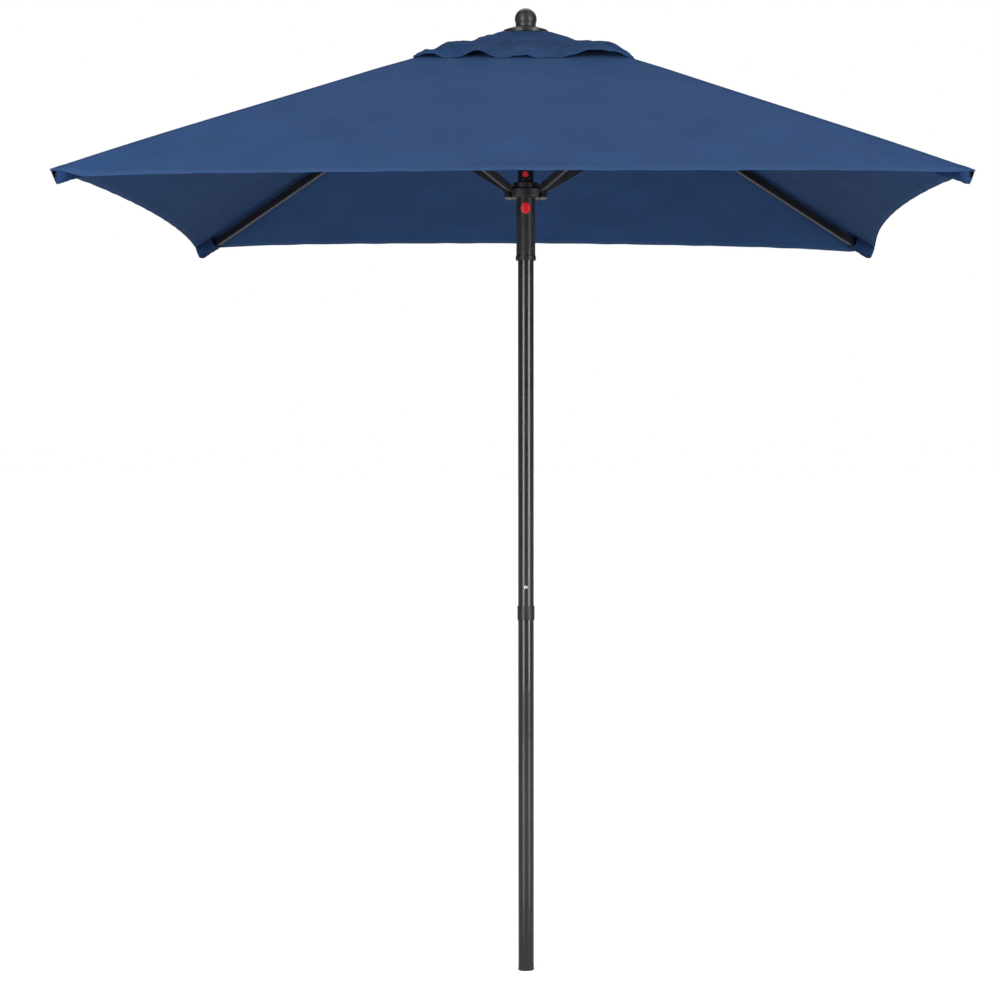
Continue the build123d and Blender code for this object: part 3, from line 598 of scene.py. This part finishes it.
def make_main_panel(corner, corner_angle, turn):
    axes = gore_axes(corner_angle, turn)
    cloth = Cloth()
    relief = main_relief_at(corner, corner_angle, turn)
    gore = GORES[(corner_angle + 45 * turn) % 360]
    panel_grid(
        cloth, axes, BAND, main_rows, panel_columns, MAIN_INNER, main_hem, HEM_PULL[gore], relief
    )
    panel = cloth.make(f"canopy_{gore}_gore_at_{corner}", fabric)
    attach(panel, f"rib_{corner}")
    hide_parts(f"canopy_quarter_{corner}")
    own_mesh(panel)
    length = (HALF_WIDTH - VENT_HALF) * DOWN_PER_RUN
    declare_sheet(cloth, HALF_WIDTH, length)


# ---- corner pockets ---------------------------------------------------------------------
TIP_END = CORNER_S - 0.0098                  # just past the end of the rib's tip
POCKET_START, POCKET_END = CORNER_S - 0.092, CORNER_S - 0.0075
POCKET_FALL = RIB_FALL * math.cos(SLOPE)     # a gore falls this much beside its ridge


def make_pocket(corner, corner_angle):
    """The sewn pocket under a corner, which holds the rib's tip."""
    down, _, _ = gore_axes(corner_angle, 1)
    ridge = math.radians(corner_angle)
    across_rib = np.array([-math.sin(ridge), math.cos(ridge), 0.0])
    up = np.cross(across_rib, down)
    up = up if up[2] > 0 else -up
    cloth = Cloth()
    length = POCKET_END - POCKET_START
    turn = np.linspace(-1.0, 1.0, 41)[None, :]
    along = np.concatenate(
        [np.linspace(POCKET_START, TIP_END, 30), np.linspace(TIP_END + 0.0003, POCKET_END, 5)]
    )[:, None] + 0 * turn
    share = (along - POCKET_START) / length
    half = 0.0185 + 0.0010 * np.sin(9 * share + 2.0 * turn)
    half = np.minimum(half, 1.118 * (CORNER_S - along) + 0.0004)
    y = half * np.sign(turn) * np.abs(turn) ** 1.15
    sides = [
        main_relief_at(corner, corner_angle, side)(along, np.abs(y), 1.0 + 0 * y, 0.0 * y)
        for side in (1, -1)
    ]
    relief = np.where(y > 0, sides[0], sides[1])
    drop = 0.0012 + POCKET_FALL * np.abs(y) - relief
    closing = smooth(TIP_END, POCKET_END, along)    # the end wall comes up round the rib's tip
    depth = 0.0258 + 0.0006 * np.sin(7 * share) - 0.0140 * closing
    bowl = (1 - np.abs(turn) ** 6) ** 0.8
    z = -(drop + np.maximum(depth - drop, 0.0) * bowl)
    z = z - 0.0005 * np.sin(24 * share + 5 * turn) * bowl * (1 - closing)
    middle = APEX + along[..., None] * down + y[..., None] * across_rib + z[..., None] * up
    out_yz = np.stack([np.gradient(z, axis=1), -np.gradient(y, axis=1)])
    out_yz /= np.linalg.norm(out_yz, axis=0)
    out = out_yz[0][..., None] * across_rib + out_yz[1][..., None] * up
    thin = np.full(z.shape, 0.0006)
    gap = np.minimum(1 - share, share) * length + 0 * z + 0.010
    cloth.add_grid(middle, out, thin, thin, along, y + 0.05, gap)
    pocket = cloth.make(f"canopy_pocket_{corner}", shaded_pocket_fabric)
    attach(pocket, f"rib_{corner}")
    return pocket


for corner, corner_angle in CORNERS.items():
    band, band_cloth = make_main_band(corner, corner_angle)
    pocket = make_pocket(corner, corner_angle)
    ridge_length = CORNER_S - VENT_HALF * math.sqrt(2) / math.cos(SLOPE)
    declare_sheet(band_cloth, 2 * BAND, ridge_length)
    for turn in (1, -1):
        make_main_panel(corner, corner_angle, turn)

# ---- vent cap ---------------------------------------------------------------------------
CAP_INNER = 0.0886           # the gathered part of the cap starts this far down a gore
CROWN_R = 0.048              # the cap's inner edge, clamped under the finial's skirt
CROWN_FLAT_WIDTH = 0.165     # flat width of the crown's cut piece, which is 0.118 across as it is modelled
UNDER_SKIRT_Z = skirt_low[2] - 0.0007
TUCK_FALL = 0.30             # slope of the fabric just outside the skirt
cap_hem = hem_line(CAP_HALF, 0.0)
cap_rows = np.concatenate([np.linspace(0.0, 0.90, 40), np.linspace(0.925, 1.0, 4)])[:, None]
cap_band_columns = np.array(seam_columns + list(np.linspace(0.012, CAP_BAND, 7)))[None, :]
cap_panel_columns = np.linspace(0.0, 1.0, 57)[None, :]


def tuck_under_skirt(points):
    """Draws the fabric down where it passes under the finial's skirt."""
    radius = np.hypot(points[..., 0], points[..., 1])
    free = smooth(SKIRT_R - 0.001, SKIRT_R + 0.020, radius)
    tucked = UNDER_SKIRT_Z - TUCK_FALL * np.maximum(radius - SKIRT_R, 0.0)
    tucked = np.minimum(points[..., 2], tucked)
    points[..., 2] = tucked * (1 - free) + points[..., 2] * free
    return points


def add_cap_grid(cloth, corner, corner_angle, turn, m, s, q, lateral):
    """Places a grid of the cap's flat coordinates on its gore, with its relief."""
    axes = gore_axes(corner_angle, turn)
    gore = GORES[(corner_angle + 45 * turn) % 360]
    out = np.broadcast_to(axes[2], s.shape + (3,)).copy()
    out[q < 1e-9] = ridge_out(corner_angle)
    flat = APEX + s[..., None] * axes[0] + q[..., None] * axes[1]
    relief = cap_relief(flat, m, s, q, lateral, corner, gore, turn)
    middle = tuck_under_skirt(flat + relief[..., None] * out)
    gap = CAP_HALF * DOWN_PER_RUN - m + 0.010
    hem = 1.0 - smooth(HEM_WIDTH, HEM_WIDTH + 0.001, gap)
    tape_top, tape_bottom = seam_tape(q)
    top_t = 0.0002 + 0.0003 * hem + tape_top
    bottom_t = 0.0006 + 0.0005 * hem + 0.6 * tape_bottom
    cloth.add_grid(middle, out, top_t, bottom_t, s, q, gap)


def cap_edge(columns):
    """Distances from the mid-line of the band's columns, then of the panel's, on its first row."""
    start = np.zeros((1, 1))
    on_band = across(start, columns, CAP_INNER, cap_hem)
    edge = across(start, np.full((1, 1), CAP_BAND), CAP_INNER, cap_hem)
    on_panel = edge * (1 - cap_panel_columns[:, 1:])
    return np.concatenate([on_band, on_panel], axis=1)


def make_cap_band(corner, corner_angle):
    cloth = Cloth()
    first_row = cap_edge(cap_band_columns)
    for turn in (1, -1):
        lateral = across(cap_rows, cap_band_columns, CAP_INNER, cap_hem)
        m, s, _ = cloth_coordinates(cap_rows, lateral, CAP_INNER, cap_hem)
        q = np.broadcast_to(cap_band_columns, s.shape).copy()
        add_cap_grid(cloth, corner, corner_angle, turn, m, s, q, lateral)
        # The crown, from the round inner edge out to the first row.
        run = CAP_INNER / DOWN_PER_RUN
        radius = np.hypot(run, first_row)
        steps = np.linspace(0.0, 1.0, 12)[:, None]
        scale = CROWN_R / radius * (1 - steps) + steps
        m = scale * CAP_INNER
        lateral = scale * first_row
        s = m * SEAM_COS + lateral * SEAM_SIN
        q = m * SEAM_SIN - lateral * SEAM_COS
        q[:, 0] = 0.0
        add_cap_grid(cloth, corner, corner_angle, turn, m, s, q, lateral)
    band = cloth.make(f"vent_cap_crown_{corner}", shaded_cap_fabric)
    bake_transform(band)
    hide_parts(f"vent_cap_quarter_{corner}")
    length = CAP_HALF * math.sqrt(2)
    declare_sheet(cloth, CROWN_FLAT_WIDTH, length)


def make_cap_panel(corner, corner_angle, turn):
    axes = gore_axes(corner_angle, turn)
    gore = GORES[(corner_angle + 45 * turn) % 360]
    cloth = Cloth()
    edge = across(cap_rows, np.full((1, 1), CAP_BAND), CAP_INNER, cap_hem)
    lateral = edge * (1 - cap_panel_columns)
    m, s, q = cloth_coordinates(cap_rows, lateral, CAP_INNER, cap_hem)
    add_cap_grid(cloth, corner, corner_angle, turn, m, s, q, lateral)
    panel = cloth.make(f"vent_cap_{gore}_at_{corner}", shaded_cap_fabric)
    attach(panel, f"rib_{corner}")
    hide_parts(f"vent_cap_quarter_{corner}")
    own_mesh(panel)
    length = CAP_HALF * DOWN_PER_RUN - CAP_INNER
    declare_sheet(cloth, CAP_HALF, length)


for corner, corner_angle in CORNERS.items():
    make_cap_band(corner, corner_angle)
    for turn in (1, -1):
        make_cap_panel(corner, corner_angle, turn)

# ---- studio -----------------------------------------------------------------------------
FLOOR_SIZE = 600.0
floor_mesh = bpy.data.meshes.new("studio_floor")
half_floor = FLOOR_SIZE / 2
floor_mesh.from_pydata(
    [(half_floor * x, half_floor * y, -0.0005) for x, y in ((-1, -1), (1, -1), (1, 1), (-1, 1))],
    [],
    [(0, 1, 2, 3)],
)
floor = bpy.data.objects.new("studio_floor", floor_mesh)
bpy.context.scene.collection.objects.link(floor)
floor_material, floor_tree, floor_shader = start_material("pale_floor", Roughness=0.9)
floor_place = node(floor_tree, "TexCoord").outputs["Object"]
FLOOR_DARK, FLOOR_LIGHT = (0.94, 0.94, 0.94, 1.0), (0.96, 0.96, 0.96, 1.0)
floor_tone = mix_colour(floor_tree, noise_of(floor_tree, floor_place, 2.0), FLOOR_DARK, FLOOR_LIGHT)
floor_bounce = node(floor_tree, "BsdfDiffuse", {"Color": (0.50, 0.50, 0.50, 1.0)})
floor_seen = node(floor_tree, "LightPath").outputs["Is Camera Ray"]
floor_mix = node(
    floor_tree, "MixShader", {0: floor_seen, 1: floor_bounce.outputs[0], 2: floor_shader.outputs[0]}
)
floor_tree.links.new(floor_tone, floor_shader.inputs["Base Color"])
floor_tree.links.new(floor_mix.outputs[0], floor_tree.nodes["Material Output"].inputs["Surface"])
floor_mesh.materials.append(floor_material)


def add_sun(name, toward, strength, spread):
    """A soft sun that shines from that direction."""
    lamp = bpy.data.lights.new(name, "SUN")
    lamp.energy = strength
    lamp.angle = math.radians(spread)
    holder = bpy.data.objects.new(name, lamp)
    holder.rotation_mode = "QUATERNION"
    holder.rotation_quaternion = Vector(toward).to_track_quat("Z", "Y")
    bpy.context.scene.collection.objects.link(holder)


def add_strip(name, place, width, height, power):
    """A tall soft box that faces the pole."""
    lamp = bpy.data.lights.new(name, "AREA")
    lamp.shape = "RECTANGLE"
    lamp.size, lamp.size_y = width, height
    lamp.energy = power
    holder = bpy.data.objects.new(name, lamp)
    holder.location = place
    holder.rotation_mode = "QUATERNION"
    holder.rotation_quaternion = Vector((place[0], place[1], 0.0)).to_track_quat("Z", "Y")
    holder.visible_camera = False
    bpy.context.scene.collection.objects.link(holder)


add_sun("key_left", (-1.3, -1.5, 1.6), 1.45, 50.0)
add_sun("key_right", (1.5, -1.3, 1.5), 1.25, 50.0)
add_sun("back_top", (0.2, 1.4, 2.2), 1.25, 60.0)
add_strip("box_left", (-2.35, -3.50, 2.00), 1.5, 3.4, 210.0)
add_strip("box_right", (3.20, -2.72, 2.00), 1.5, 3.4, 210.0)
add_strip("low_left", (-0.45, -0.67, 0.24), 0.26, 0.46, 1.5)
add_strip("low_right", (0.61, -0.52, 0.24), 0.26, 0.46, 1.2)

world = bpy.data.worlds.new("studio")
bpy.context.scene.world = world
world.use_nodes = True
world_tree = world.node_tree
world_tree.nodes.clear()
seen = node(world_tree, "Background", {"Color": (1.0, 1.0, 1.0, 1.0), "Strength": 1.0})
shed = node(world_tree, "Background", {"Color": (1.0, 1.0, 1.0, 1.0), "Strength": 0.25})
by_eye = node(world_tree, "LightPath").outputs["Is Camera Ray"]
mixed = node(world_tree, "MixShader", {0: by_eye, 1: shed.outputs[0], 2: seen.outputs[0]})
node(world_tree, "OutputWorld", {"Surface": mixed.outputs[0]})

# ---- camera -----------------------------------------------------------------------------
camera = bpy.data.objects.new("camera", bpy.data.cameras.new("camera"))
camera.data.sensor_width = 36.0
camera.data.lens = 90.2
camera.data.shift_x = -0.0966      # the photograph's frame is cropped off-centre by this much
camera.location = (0.1715, -6.08, 1.233)
camera.rotation_euler = (math.radians(90 - 0.85), 0.0, 0.0)
bpy.context.scene.collection.objects.link(camera)
bpy.context.scene.camera = camera
bpy.context.scene.view_settings.view_transform = "Standard"
